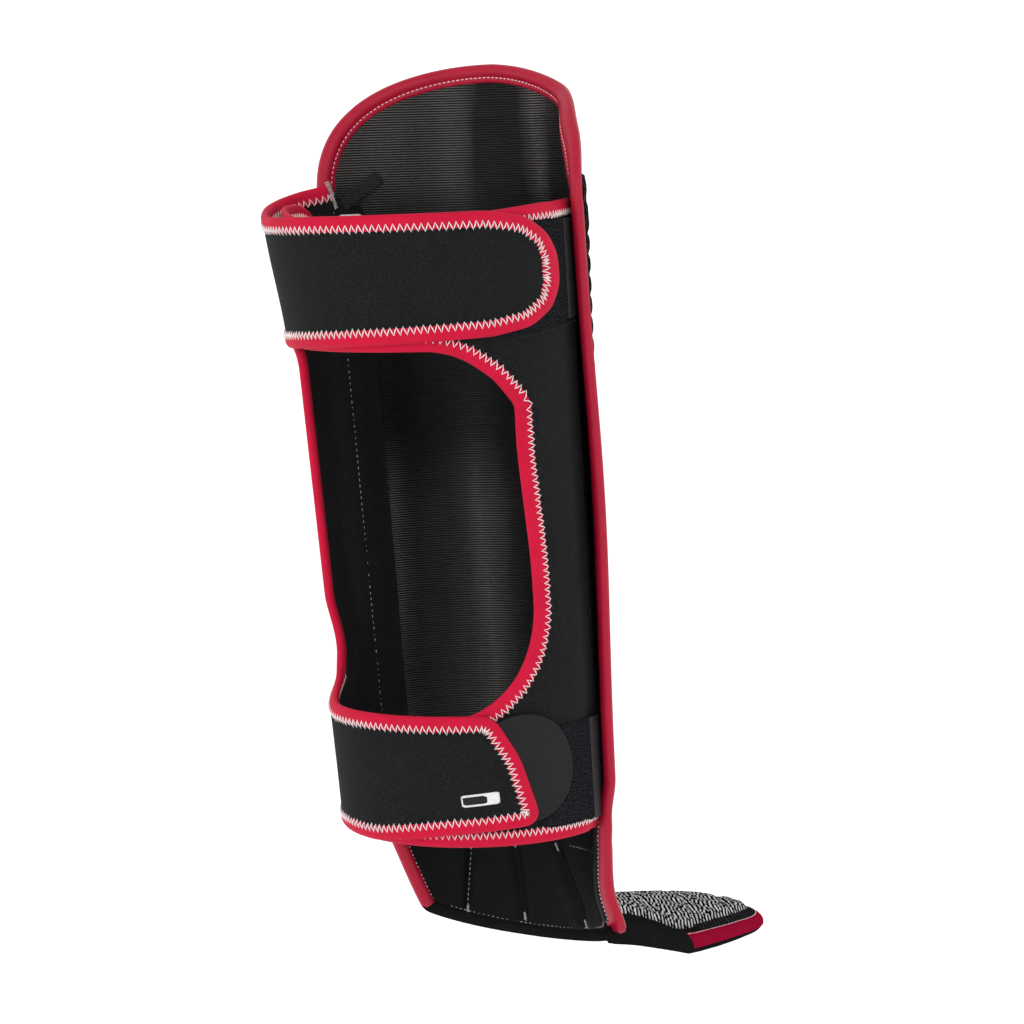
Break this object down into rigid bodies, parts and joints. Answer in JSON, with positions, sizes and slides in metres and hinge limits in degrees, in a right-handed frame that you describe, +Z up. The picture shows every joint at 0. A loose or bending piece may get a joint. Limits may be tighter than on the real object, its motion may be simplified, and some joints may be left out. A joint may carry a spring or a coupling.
{
  "type": "shin and instep guard",
  "caption": "Padded shin guard with a hinged instep pad, bound calf wings, two wrap-round straps and a pull tab.",
  "frame": {"origin": "on the leg's axis at the ankle, level with the panel's lowest edge", "axes": "+Z up the leg, -Y towards the front of the shin and the toes, -X towards the outer side of a right leg"},
  "size_m": [0.1321, 0.329, 0.4343],
  "materials": {
    "satin_lining": "black ribbed satin lining",
    "smooth_leatherette": "black smooth synthetic leather",
    "foam": "closed-cell foam, hidden",
    "shell_leatherette": "black grained synthetic leather",
    "woven_pad": "silver and black woven panel",
    "dark_woven_pad": "black woven panel",
    "red_piping": "red synthetic leather piping",
    "red_binding": "red knit binding with white zigzag stitch",
    "neoprene": "black knit-faced neoprene",
    "loop_fabric": "grey-black hook-and-loop pile",
    "hook_tape": "moulded hook tape",
    "tab_rubber": "dark matt rubber",
    "label_fabric": "plain woven label",
    "ribbon": "black grosgrain ribbon",
    "elastic": "black elastic webbing"
  },
  "bodies": {
    "root": {"lining": "satin_lining", "ankle_lining": "smooth_leatherette", "shin_foam": "foam", "outer_shell": "shell_leatherette", "shin_bar": "woven_pad", "outer_side_pad": "dark_woven_pad", "inner_side_pad": "dark_woven_pad", "edge_piping": "red_piping", "ankle_rim": "smooth_leatherette", "near_wing": "neoprene", "near_wing_binding": "red_binding", "upper_loop_patch": "loop_fabric", "lower_loop_patch": "loop_fabric", "far_seam_flange": "neoprene", "far_wing": "neoprene", "far_wing_binding": "red_binding", "care_label": "label_fabric", "pull_ribbon": "ribbon"},
    "upper_strap": {"upper_strap": "neoprene", "upper_strap_binding": "red_binding", "upper_hook_patch": "hook_tape"},
    "lower_strap": {"lower_strap": "neoprene", "lower_strap_binding": "red_binding", "lower_hook_patch": "hook_tape", "woven_label": "label_fabric"},
    "grab_tab": {"grab_tab": "tab_rubber"},
    "instep": {"instep_cover": "smooth_leatherette", "instep_foam": "foam", "instep_lining": "satin_lining", "instep_pad": "woven_pad", "toe_binding": "red_piping", "foot_strap": "elastic"}
  },
  "joints": [
    {"name": "upper_strap_open", "type": "hinge", "parent": "root", "child": "upper_strap", "pos_m": [0.06322, 0.05099, 0.3165], "axis": [-0.0165, -0.1097, -0.9938], "range_deg": [0, 120]},
    {"name": "lower_strap_open", "type": "hinge", "parent": "root", "child": "lower_strap", "pos_m": [0.05576, 0.03733, 0.1005], "axis": [-0.0154, -0.1164, -0.9931], "range_deg": [0, 120]},
    {"name": "grab_tab_lift", "type": "hinge", "parent": "lower_strap", "child": "grab_tab", "pos_m": [-0.04239, 0.0525, 0.104], "axis": [-0.2826, -0.4116, -0.8665], "range_deg": [0, 40], "stiffness_Nm_per_rad": 0.03},
    {"name": "instep_flex", "type": "hinge", "parent": "root", "child": "instep", "pos_m": [0, -0.066, -0.002], "axis": [-1, 0, 0], "range_deg": [-30, 20]}
  ]
}
